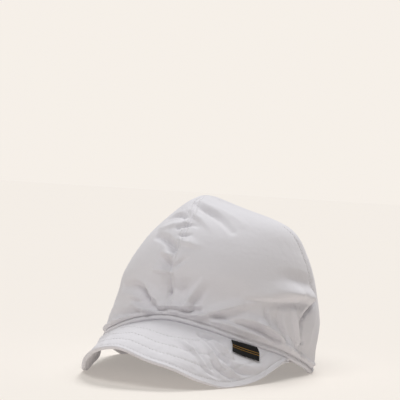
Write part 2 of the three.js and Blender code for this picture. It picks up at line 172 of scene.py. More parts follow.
# Folds of the crown, each bent through three places A, B and C on the cloth. Width is the half
# width. Heights are at A, B and C: ridges above 0, creases below. A lean tips the fold to the
# right-hand side of its path, seen from outside, or to the left if it is below 0.
FOLDS = rows_of(FOLD_COLUMNS, [
    # slack gathered at the top of the front
    [5, 0.87, 17, 0.782, 31, 0.662, 6, -1.2, -3, -1.4, 0],
    [10, 0.9, 26, 0.82, 38, 0.72, 8, 0.6, 1.6, 0.8, 0],
    [0, 0.8, 10, 0.716, 19, 0.65, 6, 1, 2.2, 0.3, 0.3],
    # dents beside the front seam, where its thread has drawn up
    [-27, 0.715, -15, 0.738, -3, 0.728, 5, -1.2, -3.4, -2.6, 0],
    [-24, 0.645, -9, 0.66, 1, 0.69, 6, 1, 2, 1, 0.3],
    [-1, 0.645, 4, 0.676, 10, 0.664, 3.4, -1.8, -2.4, -0.8, 0],
    [2, 0.6, 5, 0.602, 8, 0.606, 2.6, -1.4, -2.4, -0.8, 0],
    [-20, 0.59, -8, 0.56, 0, 0.505, 5.6, -2.4, -5.4, -4.4, 0],
    [3, 0.565, 8, 0.545, 14, 0.54, 6, 1.6, 2.6, 0.5, 0.3],
    [-6, 0.472, -3, 0.46, 0, 0.448, 4, 1.4, 2.8, 2, 0],
    [-8, 0.445, -3, 0.415, 0, 0.37, 4.8, -2.4, -4.6, -2.8, 0],
    [3, 0.385, 5, 0.415, 8, 0.445, 3.6, -2.2, -3.2, -1, 0],
    [-11, 0.356, -4, 0.35, 0, 0.344, 3.6, 1.2, 2.8, 2.4, 0.2],
    [0, 0.228, 0, 0.193, 0, 0.168, 2.8, -0.8, -3.4, -0.8, 0],
    [1, 0.25, 6, 0.215, 9, 0.26, 8, -1.6, -3, -1.6, 0],
    # the S-shaped crease on the front's right, and the small ridges beside it
    [-40, 0.28, -23, 0.252, -16, 0.19, 6.2, -2.1, -4.4, -4.4, 0],
    [-18, 0.206, -12, 0.127, -3, 0.064, 6.4, -3.8, -4.6, -3, 0],
    [-25, 0.277, -14, 0.208, -5, 0.095, 6.5, 0.8, 3.1, 1.8, 0.3],
    [-34, 0.206, -25, 0.182, -17, 0.132, 7, 0.5, 2.3, 1, 0],
    [-26, 0.139, -18, 0.094, -9, 0.059, 3.8, 1, 3.6, 2.3, 0.3],
    [-28, 0.166, -22, 0.149, -16, 0.134, 3.6, -0.8, -2.6, -1, 0],
    [-46, 0.113, -28, 0.081, -14, 0.046, 5.5, -1, -2.9, -1.8, 0],
    # folds above the middle of the brim
    [-9, 0.083, 0, 0.1, 11, 0.106, 3.8, 2.3, 4.1, 3.7, 0.3],
    [2, 0.068, 9.5, 0.084, 16, 0.114, 4.4, -1.8, -4.1, -2.4, 0],
    [-9, 0.076, -5, 0.068, -1, 0.072, 3.8, -2.4, -2.9, -0.9, 0],
    [9, 0.118, 11, 0.196, 17, 0.32, 5.5, 3.1, 3.4, 0.8, -0.3],
    [13, 0.142, 14.5, 0.191, 18, 0.254, 5, -3.4, -2.9, -0.5, 0],
    [11, 0.129, 14, 0.136, 18, 0.14, 2.6, 1, 2.3, 0.5, 0],
    [17, 0.076, 25, 0.145, 36, 0.229, 5, 2.1, 3.7, 1.6, 0.3],
    [33, 0.196, 41, 0.25, 52, 0.284, 9, 1, 2.3, 1.6, 0.3],
    [18, 0.067, 24.5, 0.095, 36, 0.157, 5.4, -2.8, -4.2, -1, 0],
    # the soft shelf on the wearer's left, and the crease under it
    [40, 0.299, 56, 0.323, 72, 0.352, 9, 1, 3.4, 3.1, 0.5],
    [57, 0.372, 70, 0.376, 90, 0.384, 9.5, 0.8, 3.9, 3.7, 0.3],
    [60, 0.444, 74, 0.452, 89, 0.456, 10, -0.5, -2.3, -2.3, 0],
    [37, 0.267, 52, 0.285, 77, 0.345, 8, -0.8, -2.9, -2.9, 0],
    # gathers that hang from the shelf to the end of the brim
    [50, 0.26, 51, 0.198, 54.5, 0.147, 3.2, -1, -2.9, -1, 0],
    [55, 0.251, 56, 0.202, 58, 0.144, 6, -0.8, -2.1, -0.8, 0],
    [59.5, 0.273, 59.5, 0.186, 65, 0.099, 5, -1.8, -3.6, -2.9, 0],
    [69.5, 0.309, 70, 0.227, 75, 0.12, 4.5, 1.6, 3.6, 2.1, 0],
    [75, 0.308, 74, 0.24, 74, 0.172, 3.2, -0.8, -2.1, -1.3, 0],
    [66, 0.117, 68, 0.096, 70, 0.071, 2.4, 0.5, 1.8, 0.8, 0],
    [72, 0.107, 74, 0.086, 76, 0.062, 2.4, -0.5, -2.1, -0.8, 0],
    # the long ridge that runs down to the end of the brim, and the crease under it
    [31, 0.116, 40, 0.145, 49, 0.138, 5.5, 0.8, 3.1, 3.4, 0.2],
    [48, 0.142, 58, 0.114, 68, 0.062, 5, 3.6, 4.4, 2.6, 0.3],
    [36, 0.099, 47, 0.104, 59, 0.068, 5, -1.8, -4.6, -2.6, 0],
    # the side seam on the wearer's left, drawn in under the bulge of the back panel
    [96, 0.384, 81, 0.285, 77, 0.207, 2.6, -1.6, -3.4, -3, 0],
    [77, 0.239, 76.5, 0.166, 79, 0.123, 3.6, -3.4, -3.4, -1.8, 0],
    [99, 0.339, 89, 0.257, 86, 0.15, 10, 1.2, 2.4, 1.4, -0.2],
    [100, 0.172, 108, 0.25, 118, 0.336, 18, 0.8, 1.6, 0.8, 0],
    # the wearer's right
    [-54, 0.31, -74, 0.26, -92, 0.24, 10, -0.6, -2.2, -0.8, 0],
    [-48, 0.17, -62, 0.13, -74, 0.07, 8, 0.4, 1, 0.5, 0.4],
    [-84, 0.42, -104, 0.36, -120, 0.26, 12, 0.6, 1.6, 0.6, 0.4],
    [-78, 0.13, -85, 0.18, -88, 0.24, 6, 0.6, 1.8, 0.4, 0.3],
    [-60, 0.52, -76, 0.47, -90, 0.46, 8, 0.2, 1.2, 0.4, 0.4],
    [-112, 0.1, -108, 0.16, -100, 0.22, 5, 0.5, 1.2, 0.2, -0.3],
    # the back
    [138, 0.22, 170, 0.3, 205, 0.24, 12, -0.6, -2.6, -0.8, 0],
    [142, 0.34, 172, 0.42, 200, 0.36, 15, 0.6, 2.2, 0.8, 0.5],
    [150, 0.07, 153, 0.14, 155, 0.21, 6, 0.8, 2, 0.4, 0.3],
    [198, 0.07, 200, 0.14, 206, 0.22, 6, 0.8, 2, 0.4, -0.3],
    [160, 0.66, 178, 0.58, 205, 0.55, 11, -0.3, -1.8, -0.4, 0],
    [222, 0.15, 236, 0.24, 252, 0.3, 11, -0.5, -2, -0.6, 0],
    [124, 0.12, 128, 0.2, 138, 0.28, 7, 0.4, 1.4, 0.2, 0.3],
    [172, 0.12, 176, 0.17, 184, 0.2, 6, 0.3, 1.2, 0.3, 0.4],
    [228, 0.4, 214, 0.48, 206, 0.6, 9, 0.2, 1.3, 0.3, 0.4],
])

SIDES = {"front": 0, "left": 90, "back": 180, "right": 270}


def spline(table, name, at, even=False):
    """A smooth curve through one column of a table. An even curve is mirrored at its first row."""
    xs, ys = table["at"], table[name]
    first = (2 * xs[0] - xs[1], ys[1]) if even else (xs[0], ys[0])
    xs = np.concatenate([[first[0]], xs, xs[-1:]])
    ys = np.concatenate([[first[1]], ys, ys[-1:]])
    i = np.clip(np.searchsorted(table["at"], at, side="right"), 1, len(xs) - 3)
    span = xs[i + 1] - xs[i]
    slope_a = (ys[i + 1] - ys[i - 1]) / (xs[i + 1] - xs[i - 1]) * span
    slope_b = (ys[i + 2] - ys[i]) / (xs[i + 2] - xs[i]) * span
    s = (at - xs[i]) / span
    return (
        (2 * s**3 - 3 * s**2 + 1) * ys[i]
        + (s**3 - 2 * s**2 + s) * slope_a
        + (3 * s**2 - 2 * s**3) * ys[i + 1]
        + (s**3 - s**2) * slope_b
    )


def smoothstep(low, high, x):
    s = np.clip((x - low) / (high - low), 0, 1)
    return s * s * (3 - 2 * s)


def bump(distance, reach):
    """1 at the middle of a fold, falling smoothly to 0 at its reach."""
    return (1 - np.clip(np.abs(distance) / reach, 0, 1) ** 2) ** 2


def waver(angle, waves, wander, slow_waves):
    """Waves round the hem, whose pitch wanders in slow waves."""
    turn = np.radians(angle)
    return np.sin(waves * turn + wander * np.sin(slow_waves * turn))


def unit(vectors):
    return vectors / np.maximum(np.linalg.norm(vectors, axis=-1, keepdims=True), 1e-9)


def hem_height(angle):
    from_front = np.abs((np.asarray(angle, float) + 180) % 360 - 180)
    return hem_rise * spline(HEM, "height", np.minimum(from_front / hem_rest_angle, 1), even=True)


def crown_base(angle, way):
    """The crown's outer face before its folds."""
    angle, way = np.broadcast_arrays(np.asarray(angle, float), np.asarray(way, float))
    ahead, aside = np.cos(np.radians(angle)), np.sin(np.radians(angle))
    front_reach = hem_length * hem_front_share
    reach_along = np.where(
        ahead > 0,
        front_reach * spline(SECTIONS, "front", way),
        (hem_length - front_reach) * spline(SECTIONS, "back", way),
    )
    side = np.where(aside > 0, spline(SECTIONS, "left", way), spline(SECTIONS, "right", way))
    foot = hem_height(angle)
    return np.stack([
        aside * side * hem_width / 2 - apex_lean * way**2,
        -ahead * reach_along - apex_forward * way**2,
        foot + (crown_height - foot) * spline(SECTIONS, "height", way),
    ], -1)


def crown_outward(angle, way):
    """The direction square to the crown. It turns upright at the apex, where the four tips meet."""
    way = np.asarray(way, float)
    across = crown_base(angle + 0.5, way) - crown_base(angle - 0.5, way)
    low, high = np.maximum(way - 0.01, 0), np.minimum(way + 0.01, 1)
    up = crown_base(angle, high) - crown_base(angle, low)
    upright = smoothstep(0.85, 0.99, way)[..., None]
    return unit(unit(np.cross(across, up)) * (1 - upright) + np.array([0, 0, 1]) * upright)


def length_per_degree(angle, way):
    span = crown_base(angle + 0.5, way) - crown_base(angle - 0.5, way)
    return np.linalg.norm(span, axis=-1)


def way_at(height, angle):
    """The way at a small height above the hem."""
    steepness = SECTIONS["height"][1] / SECTIONS["at"][1]
    return height / (steepness * (crown_height - hem_height(angle)))


def seam_angle(side, way):
    return SIDES[side] + spline(STRAY, side, np.asarray(way, float))


def folds_at(points, outward, folds, place):
    """How far folds move the cloth: out along its outward direction, and aside where they lean.
    A fold's path is a parabola through its three places, in short straight steps."""
    moved = np.zeros_like(points)
    steps = 8
    s = np.arange(steps + 1) / steps
    share_a, share_b, share_c = 1 - 3 * s + 2 * s * s, 4 * s - 4 * s * s, 2 * s * s - s
    for k in range(len(folds["width"])):
        row = {name: values[k] for name, values in folds.items()}
        first = share_a * row["angle_a"] + share_b * row["angle_b"] + share_c * row["angle_c"]
        second = share_a * row["way_a"] + share_b * row["way_b"] + share_c * row["way_c"]
        path = place(first, second)
        middle = path.mean(0)
        reach = np.linalg.norm(path - middle, axis=1).max() + 2 * row["width"]
        near = np.linalg.norm(points - middle, axis=1) < reach
        if not near.any():
            continue
        p, n = points[near], outward[near]
        best = np.full(len(p), np.inf)
        along, side, aside = np.zeros(len(p)), np.zeros(len(p)), np.zeros((len(p), 3))
        for i in range(steps):
            step = path[i + 1] - path[i]
            share = np.clip((p - path[i]) @ step / (step @ step), 0, 1)
            off = p - path[i] - share[:, None] * step
            distance = np.linalg.norm(off, axis=1)
            closer = distance < best
            left = unit(np.cross(n, step))
            best = np.where(closer, distance, best)
            along = np.where(closer, (i + share) / steps, along)
            sine = (off * left).sum(1) / np.maximum(distance, 1e-6)
            side = np.where(closer, sine, side)
            aside = np.where(closer[:, None], left, aside)
        lean = row["lean"]
        x = np.clip(best / (row["width"] * (1 + lean * side)), 0, 1)
        section = 0.65 * (1 - x**2) ** 2 + 0.35 * (1 - x) ** 2
        height = np.interp(along, [0, 0.5, 1], [row["height_a"], row["height_b"], row["height_c"]])
        rise = (height * section)[:, None]
        moved[near] += rise * n - 0.5 * lean * np.abs(rise) * aside
    return moved


def puckers():
    """Short folds that the seams draw in, strewn."""
    rows = []
    strewn = np.random.default_rng(41)
    for side in SIDES:
        for way in pucker_ways:
            for turn in (-1, 1):
                at = way + strewn.uniform(-pucker_scatter, pucker_scatter)
                scale = 1 / float(length_per_degree(SIDES[side], at))
                degrees = turn * strewn.uniform(*pucker_lengths) * scale
                rise = strewn.uniform(-pucker_slant, pucker_slant)
                width = strewn.uniform(*pucker_widths)
                height = strewn.uniform(-pucker_height, pucker_height)
                if side == "front":
                    height *= 0.5
                start = float(seam_angle(side, at))
                places = [v for s in (0.02, 0.5, 1.0) for v in (start + s * degrees, at + s * rise)]
                rows.append([*places, width, height, 0.6 * height, 0, 0])
    return rows_of(FOLD_COLUMNS, rows)


def gathers():
    """Short folds that rise from the hem all round, strewn."""
    rows = []
    strewn = np.random.default_rng(7)
    angle = -180.0
    while angle < 180:
        angle += strewn.uniform(*gather_spacings)
        foot = float(way_at(band_height + 1, angle))
        top = foot + strewn.uniform(*gather_rises)
        lean_over = strewn.uniform(-gather_slant, gather_slant)
        height = strewn.uniform(*gather_heights) * strewn.choice([-1, 1])
        width = strewn.uniform(*gather_widths)
        rows.append([
            angle, foot, angle + 0.4 * lean_over, (foot + top) / 2, angle + lean_over, top,
            width, height, 0.7 * height, 0, 0.2 * strewn.choice([-1, 1]),
        ])
    return rows_of(FOLD_COLUMNS, rows)


def crinkle(points, size, octaves=3, shift=0):
    """Ridged noise from 0 to about 1: thin crests that wander, as in cloth that was crumpled. A
    shift takes it from another place."""
    values = [
        noise.turbulence(Vector(p), octaves, True, noise_basis="PERLIN_NEW")
        for p in (points + shift) / size
    ]
    return 1 - np.array(values)


PUCKERS = puckers()
GATHERS = gathers()


def crown_surface(angle, way):
    """Points of the finished outer face and their outward directions, for flat arrays."""
    base, outward = crown_base(angle, way), crown_outward(angle, way)
    foot = way_at(band_height, angle)
    whole = smoothstep(foot, way_at(folds_whole_at, angle), way)
    near_hem = smoothstep(foot, way_at(puckers_whole_at, angle), way)
    free = near_hem * (1 - smoothstep(*apex_zone, way))
    moved = folds_at(base, outward, FOLDS, crown_base) * whole[:, None]
    small = folds_at(base, outward, PUCKERS, crown_base)
    small += folds_at(base, outward, GATHERS, crown_base)
    moved += small * free[:, None]
    turns = [(angle - seam_angle(side, way) + 180) % 360 - 180 for side in SIDES]
    off = np.min(np.abs(turns), axis=0) * length_per_degree(angle, way)
    up = (way - foot) / np.maximum(way_at(1, angle), 1e-9)
    lift = -seam_dip * bump(off, seam_dip_reach) * whole
    lift -= seam_groove * bump(off, seam_groove_reach) * near_hem
    lift -= stitch_groove * bump(off - stitch_offset, stitch_groove_reach) * free
    around = (angle + 180) % 360 - 180
    height, centre, reach = (
        np.interp(around, SWELL["at"], SWELL[name]) for name in ("height", "centre", "reach")
    )
    uneven = 1 - swell_unevenness * (1 - waver(angle, waves=23, wander=1.4, slow_waves=9))
    lift += height * bump(up - centre, reach) * uneven
    drawn = np.maximum(bump(off, seam_pull), bump(up, hem_pull))
    coarse = crumple_depth * (crinkle(base, crumple_size) - crumple_level)
    fine = fine_crumple_depth * (crinkle(base, fine_crumple_size, 2, shift=40) - crumple_level)
    lift += ((calm_share + (1 - calm_share) * drawn) * coarse + fine) * free
    return base + moved + lift[:, None] * outward, outward


def seat_of_cap():
    """Where the cap's own origin lies in the frame: the hem band's middle is found in both."""
    solid_height = 5
    angles = np.linspace(-180, 180, 721)
    top = way_at(solid_height, angles)
    ring = np.concatenate([crown_base(angles, 0 * angles), crown_base(angles, top)])
    middle = (ring.min(0) + ring.max(0)) / 2
    low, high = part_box("hem_band")
    return np.array([
        (low.x + high.x) / 2 / mm - middle[0],
        (low.y + high.y) / 2 / mm - middle[1],
        0,
    ])


seat = seat_of_cap()


def mesh_piece(name, points, faces, uvs, material, tip=False):
    """A piece at the origin from points in millimetres, with a UV in metres for each point. A tip
    is a last row whose points all meet."""
    mesh = bpy.data.meshes.new(name)
    mesh.from_pydata(((points + seat) * mm).tolist(), [], faces)
    corners = np.zeros(len(mesh.loops), int)
    mesh.loops.foreach_get("vertex_index", corners)
    layer = mesh.uv_layers.new(name="cloth")
    layer.data.foreach_set("uv", (np.asarray(uvs)[corners] * mm).astype(np.float32).ravel())
    mesh.polygons.foreach_set("use_smooth", [True] * len(mesh.polygons))
    mesh.materials.append(material)
    if tip:
        joined = bmesh.new()
        joined.from_mesh(mesh)
        bmesh.ops.remove_doubles(joined, verts=joined.verts, dist=0.001 * mm)
        joined.to_mesh(mesh)
        joined.free()
    mesh.validate()
    piece = bpy.data.objects.new(name, mesh)
    bpy.context.scene.collection.objects.link(piece)
    return piece


def sheet_faces(columns, rows):
    """Quads of a closed shell: an outer grid, an inner grid behind it and the rim between them."""

    def outer(i, j):
        return i * rows + j

    def inner(i, j):
        return columns * rows + outer(i, j)

    faces = []
    end, last = columns - 1, rows - 1
    for i in range(end):
        for j in range(last):
            faces.append((outer(i, j), outer(i + 1, j), outer(i + 1, j + 1), outer(i, j + 1)))
            faces.append((inner(i, j), inner(i, j + 1), inner(i + 1, j + 1), inner(i + 1, j)))
        faces.append((outer(i + 1, 0), outer(i, 0), inner(i, 0), inner(i + 1, 0)))
        faces.append((outer(i, last), outer(i + 1, last), inner(i + 1, last), inner(i, last)))
    for j in range(last):
        faces.append((outer(0, j), outer(0, j + 1), inner(0, j + 1), inner(0, j)))
        faces.append((outer(end, j + 1), outer(end, j), inner(end, j), inner(end, j + 1)))
    return faces


def cloth_uvs(grid):
    """Millimetres along and up the cloth, measured on a grid of points from its middle column."""
    across = np.linalg.norm(np.diff(grid, axis=0), axis=-1)
    across = np.concatenate([np.zeros((1, grid.shape[1])), np.cumsum(across, 0)])
    across -= across[grid.shape[0] // 2]
    up = np.linalg.norm(np.diff(grid[grid.shape[0] // 2], axis=0), axis=-1)
    up = np.broadcast_to(np.concatenate([[0], np.cumsum(up)]), across.shape)
    return np.stack([across, up], -1).reshape(-1, 2)


class Shade:
    """A socket in a node tree that takes Python's operators. A plain number stays a number."""

    def __init__(self, tree, socket):
        self.tree, self.socket = tree, socket

    def node(self, kind, settings=None, out=0, **inputs):
        made = self.tree.nodes.new(kind)
        for key, value in (settings or {}).items():
            setattr(made, key, value)
        for key, value in inputs.items():
            key = int(key[1:]) if key[1:].isdigit() else key.replace("_", " ")
            if isinstance(value, Shade):
                self.tree.links.new(value.socket, made.inputs[key])
            else:
                made.inputs[key].default_value = value
        return Shade(self.tree, made.outputs[out])

    def output(self, number):
        """Another output of this socket's own node."""
        return Shade(self.tree, self.socket.node.outputs[number])

    def feed(self, node, name):
        """Links this socket to a named input, such as one of a material's shader."""
        self.tree.links.new(self.socket, node.inputs[name])

    def maths(self, operation, a, b=0.0):
        return self.node("ShaderNodeMath", {"operation": operation}, i0=a, i1=b)

    def __add__(self, other):
        return self.maths("ADD", self, other)

    __radd__ = __add__

    def __mul__(self, other):
        return self.maths("MULTIPLY", self, other)

    __rmul__ = __mul__

    def __sub__(self, other):
        return self.maths("SUBTRACT", self, other)

    def __rsub__(self, other):
        return self.maths("SUBTRACT", other, self)

    def sine(self):
        return self.maths("SINE", self)

    def size(self):
        return self.maths("ABSOLUTE", self)

    def above(self, other):
        return self.maths("GREATER_THAN", self, other)

    def mix(self, low, high):
        """A colour between two colours, by this number."""
        made = self.tree.nodes.new("ShaderNodeMix")
        made.data_type = "RGBA"
        for key, value in (("A", low), ("B", high)):
            socket = next(s for s in made.inputs if s.name == key and s.type == "RGBA")
            if isinstance(value, Shade):
                self.tree.links.new(value.socket, socket)
            else:
                socket.default_value = (*value, 1)
        self.tree.links.new(self.socket, made.inputs["Factor"])
        return Shade(self.tree, next(s for s in made.outputs if s.type == "RGBA"))


def start_material(name, **values):
    """A material, its shader with these values on its sockets, and a start for expressions."""
    material = bpy.data.materials.new(name)
    material.use_nodes = True
    shader = material.node_tree.nodes["Principled BSDF"]
    for key, value in values.items():
        shader.inputs[key.replace("_", " ")].default_value = value
    return material, shader, Shade(material.node_tree, None)


def woven_cotton(name, colour, mottling):
    """Plain-woven cotton: crossed yarns with slubs, faint mottling and a soft crumpled surface."""
    material, shader, start = start_material(
        name, Roughness=0.9, Sheen_Weight=0.12, Sheen_Roughness=0.5, Specular_IOR_Level=0.25
    )
    cloth = start.node("ShaderNodeUVMap", {"uv_map": "cloth"})
    u = start.node("ShaderNodeSeparateXYZ", i0=cloth)
    v = u.output(1)
    yarn = 0.5 * mm
    turn = math.pi / yarn
    weave = (u * turn).sine() * (v * turn).sine()
    across_yarn, along_yarn = 1600, 110
    warp = start.node("ShaderNodeMapping", Vector=cloth, Scale=(across_yarn, along_yarn, 1))
    weft = start.node("ShaderNodeMapping", Vector=cloth, Scale=(along_yarn, across_yarn, 1))
    slub = start.node("ShaderNodeTexNoise", Vector=warp, Scale=1.0, Detail=2.0)
    slub = slub + start.node("ShaderNodeTexNoise", Vector=weft, Scale=1.0, Detail=2.0)
    place = start.node("ShaderNodeTexCoord", out=3)
    cloud = start.node("ShaderNodeTexNoise", Vector=place, Scale=38.0, Detail=4.0)
    crumple = start.node("ShaderNodeTexNoise", Vector=place, Scale=190.0, Detail=5.0)
    tone = cloud * mottling + slub * 0.35
    pale = [min(c * 1.03, 1) for c in colour]
    deep = [c * 0.94 for c in colour]
    tone.mix(pale, deep).feed(shader, "Base Color")
    height = weave * 0.03 + slub * 0.05 + crumple * 0.55
    raised = start.node("ShaderNodeBump", Strength=0.55, Distance=0.4 * mm, Height=height)
    raised.feed(shader, "Normal")
    (0.82 + cloud * 0.14).feed(shader, "Roughness")
    return material


cotton = woven_cotton("white_cotton", (0.80, 0.785, 0.815), 0.45)

# Each panel is cut as a petal, which fills this share of the rectangle round it.
panel_cut = (146, 180)
petal_share = 0.68

PANELS = {
    "crown_front_left": ("front", "left", 0),
    "crown_back_left": ("left", "back", 0),
    "crown_back_right": ("back", "right", 0),
    "crown_front_right": ("right", "front", 360),
}

for node, (first_seam, last_seam, turn) in PANELS.items():
    across = np.linspace(0, 1, panel_columns)[:, None]
    share = across - seam_crowding * np.sin(2 * np.pi * across)
    up = np.linspace(0, 1, panel_rows)[None, :]
    low = seam_angle(first_seam, 0)
    foot = way_at(band_height, low + (seam_angle(last_seam, 0) + turn - low) * share)
    way = foot + (1 - foot) * up**hem_crowding
    start = seam_angle(first_seam, way)
    angle = start + (seam_angle(last_seam, way) + turn - start) * share
    outer, outward = crown_surface(angle.ravel(), way.ravel())
    inner = outer - cloth_thickness * outward
    uvs = cloth_uvs(outer.reshape(panel_columns, panel_rows, 3))
    panel = mesh_piece(
        node + "_cloth",
        np.concatenate([outer, inner]),
        sheet_faces(panel_columns, panel_rows),
        np.concatenate([uvs, uvs]),
        cotton,
        tip=True,
    )
    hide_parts(node)
    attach(panel, "root")
    width, height = (size * mm for size in panel_cut)
    petal_share * width * height

# The hem.
# The crown's edge is folded up inside and stitched down, which makes a firm double roll. It is the
# only part of the crown that lies on the surface, at the back.
band_columns = 720
band_stitch_height = 3.3
band_waver = 0.22
hem_cut = (560, 10)

# The roll's section: how far out of the crown's face, and how high above the hem. Its cloth runs on by
# a step from row to row, and the first rows are its outer side.
roll_step = 0.9
outer_rows = 9
ROLL = rows_of("out height", [
    [-1.3, -0.3],
    [-0.35, -0.25],
    [0.35, 0.1],
    [0.8, 0.75],
    [0.9, 1.4],
    [0.6, 2.1],
    [-0.05, 2.65],
    [-0.55, 3.15],
    [-0.9, 3.8],
    [-1.2, 4.8],
    [-2.1, 5],
    [-2.95, 4.2],
    [-3.2, 2.4],
    [-2.95, 0.6],
    [-2.3, -0.2],
])


def band_point(angle, height, out):
    """A place on the hem band. The roll wavers a little between its stitches."""
    way = way_at(height, angle)
    uneven = waver(angle, waves=61, wander=1.7, slow_waves=7)
    uneven += 0.6 * np.sin(139 * np.radians(angle) + 2)
    firm = np.clip(height / band_height, 0, 1)
    out = out + band_waver * uneven * firm * (1 - 0.5 * firm)
    point = crown_base(angle, way) + out[..., None] * crown_outward(angle, way)
    point[..., 2] = np.maximum(point[..., 2], 0)
    return point


around = np.linspace(0, 360, band_columns, endpoint=False)[:, None]
around, roll_height, roll_out = np.broadcast_arrays(around, ROLL["height"], ROLL["out"])
band_grid = band_point(around, roll_height, roll_out)
sides = len(ROLL["out"])
band_faces = []
for i in range(band_columns):
    for j in range(sides):
        after, above = (i + 1) % band_columns, (j + 1) % sides
        band_faces.append((i * sides + j, after * sides + j, after * sides + above, i * sides + above))
along_hem, round_roll = np.linspace(0, hem_cut[0], band_columns), np.arange(sides) * roll_step
band_uvs = np.stack(np.meshgrid(along_hem, round_roll, indexing="ij"), -1)
hem_band = mesh_piece(
    "hem_band_cloth", band_grid.reshape(-1, 3), band_faces, band_uvs.reshape(-1, 2), cotton
)
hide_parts("hem_band")
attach(hem_band, "root")

# The brim.
# Layers of the same cotton are quilted together in rows that follow the edge, and sewn under the
# hem. It is soft: its sides are turned down, and the sewing pulls it into ripples.
brim_reach = 71
brim_half_angle = 69
brim_thickness = 2.8
brim_tuck = 1.8
joint_out = 0.6
joint_gap = 0.3
brim_columns = 300
brim_rows = 100
joint_zone = 0.15

# The edge is rounded and curls up a little.
edge_radius = 1.3
edge_turn = 0.6
edge_steps = 7
edge_fullness = 0.06
least_thickness = 0.1

# The label lies on the brim's left side, where the quilting is pressed flat.
label_width = 23
label_drop = 14.5
label_thickness = 0.9
label_angle = 41
label_setback = 2.4
label_swing = 3
label_tilt = 2
label_clearance = 0.3
label_margin = 3

# Rows at these distances from the edge press wide dips with narrow grooves. Towards the wearer's right
# all but the first are pressed more lightly.
QUILT_ROWS = [4.3, 14, 26, 40]
quilt_depth = 0.22
quilt_reach = 5
quilt_groove = 0.35
quilt_groove_reach = 1.1
light_press = 0.35
press_zone = (-0.4, 0.3)

# The cloth is dragged and crumpled, most beside the rows, and calm where the hem and the edge hold it.
drag_width = 5.5
drag_length = 13
drag_depth = 0.55
drag_calm = 0.35
drag_reach = 9
brim_crumple_size = 9
brim_crumple_depth = 0.35
joint_hold = 0.12
edge_hold = (0.6, 2.6)

# The brim from its right end, at -1, to its left end, at 1. Reach is how far the edge lies ahead of
# the joint and aside how far to its left, as shares of brim_reach. Height is the edge's underside, as
# a share of the hem's height there. Bow is how far the cloth bellies out between the joint and the
# edge, as a share of that distance.
BRIM = rows_of("at reach aside height bow", [
    [-1, 0.06, 0.01, 0.8, 0.03],
    [-0.9, 0.2, 0.065, 0.28, 0.02],
    [-0.8, 0.37, 0.055, 0.07, 0.02],
    [-0.68, 0.58, 0.04, -0.02, 0.01],
    [-0.56, 0.76, 0.03, 0.16, 0],
    [-0.46, 0.88, 0.03, 0.39, 0.01],
    [-0.3, 0.99, 0.03, 0.56, 0.03],
    [-0.12, 1.01, 0.03, 0.6, 0.05],
    [0.1, 1.01, 0.03, 0.45, 0.05],
    [0.3, 0.99, 0.03, 0.345, 0.05],
    [0.46, 0.88, 0.03, 0.14, 0.04],
    [0.62, 0.67, 0.03, -0.03, 0.03],
    [0.8, 0.37, 0.03, 0.14, 0.03],
    [1, 0.06, 0.01, 0.86, 0.03],
])

# Pulled ripples of the brim, in the columns of the crown's folds. An angle is here a share of the half
# brim, and a way runs from 0 at the joint to 1 at the edge.
RIPPLES = rows_of(FOLD_COLUMNS, [
    # beside the label
    [0.29, 0.2, 0.42, 0.4, 0.53, 0.5, 3.4, -1.8, -5, -2.2, 0],
    [0.31, 0.3, 0.42, 0.5, 0.5, 0.63, 2.9, 1.2, 3.8, 1.6, 0],
    [0.38, 0.23, 0.46, 0.32, 0.54, 0.4, 2.8, 2, 4.4, 2.4, 0],
    [0.43, 0.19, 0.48, 0.25, 0.54, 0.33, 2.6, -1.6, -3.6, -1.2, 0],
    [0.28, 0.15, 0.34, 0.17, 0.42, 0.11, 4.2, -1.4, -3.8, -1.2, 0],
    # across the middle and down to the edge
    [0.22, 0.48, 0.31, 0.57, 0.42, 0.68, 3.6, 0.8, 2, 0.8, 0],
    [0.28, 0.47, 0.39, 0.63, 0.5, 0.78, 3.6, -1, -2.2, -1, 0],
    [0.2, 0.54, 0.29, 0.62, 0.36, 0.66, 4.5, -0.4, -1.2, -0.5, 0],
    [0.37, 0.7, 0.45, 0.8, 0.53, 0.85, 3.2, -0.8, -2.2, -0.8, 0],
    [0.45, 0.62, 0.52, 0.72, 0.61, 0.8, 3.2, -1.4, -3.2, -1, 0],
    [0.5, 0.57, 0.56, 0.65, 0.64, 0.77, 3, 1, 2.8, 1, 0],
    [0.54, 0.53, 0.61, 0.64, 0.7, 0.73, 3, -1, -2.4, -0.8, 0],
    [0.53, 0.45, 0.63, 0.52, 0.76, 0.56, 6, 0.8, 2.6, 1, 0],
    # the right side, which is smoother
    [-0.3, 0.2, -0.44, 0.5, -0.55, 0.75, 7, 0.2, 0.9, 0.2, 0.2],
    [-0.12, 0.15, -0.16, 0.5, -0.2, 0.85, 7, -0.2, -0.6, -0.2, 0],
    [-0.4, 0.1, -0.45, 0.16, -0.5, 0.3, 5, -0.4, -1.2, -0.4, 0],
    [-0.62, 0.25, -0.68, 0.5, -0.74, 0.8, 6, -0.2, -0.7, -0.2, 0],
])


def brim_line(share, out):
    """The brim's underside before it bellies: a straight run from the joint to the edge."""
    angle = np.asarray(share, float) * brim_half_angle
    joint = crown_base(angle, 0 * angle) + joint_out * crown_outward(angle, 0 * angle)
    hem = hem_height(angle)
    joint[..., 2] = hem - joint_gap - brim_thickness
    edge = joint + np.stack([
        brim_reach * spline(BRIM, "aside", share),
        -brim_reach * spline(BRIM, "reach", share),
        0 * hem,
    ], -1)
    edge[..., 2] = hem * spline(BRIM, "height", share)
    return joint + (edge - joint) * np.asarray(out)[..., None]


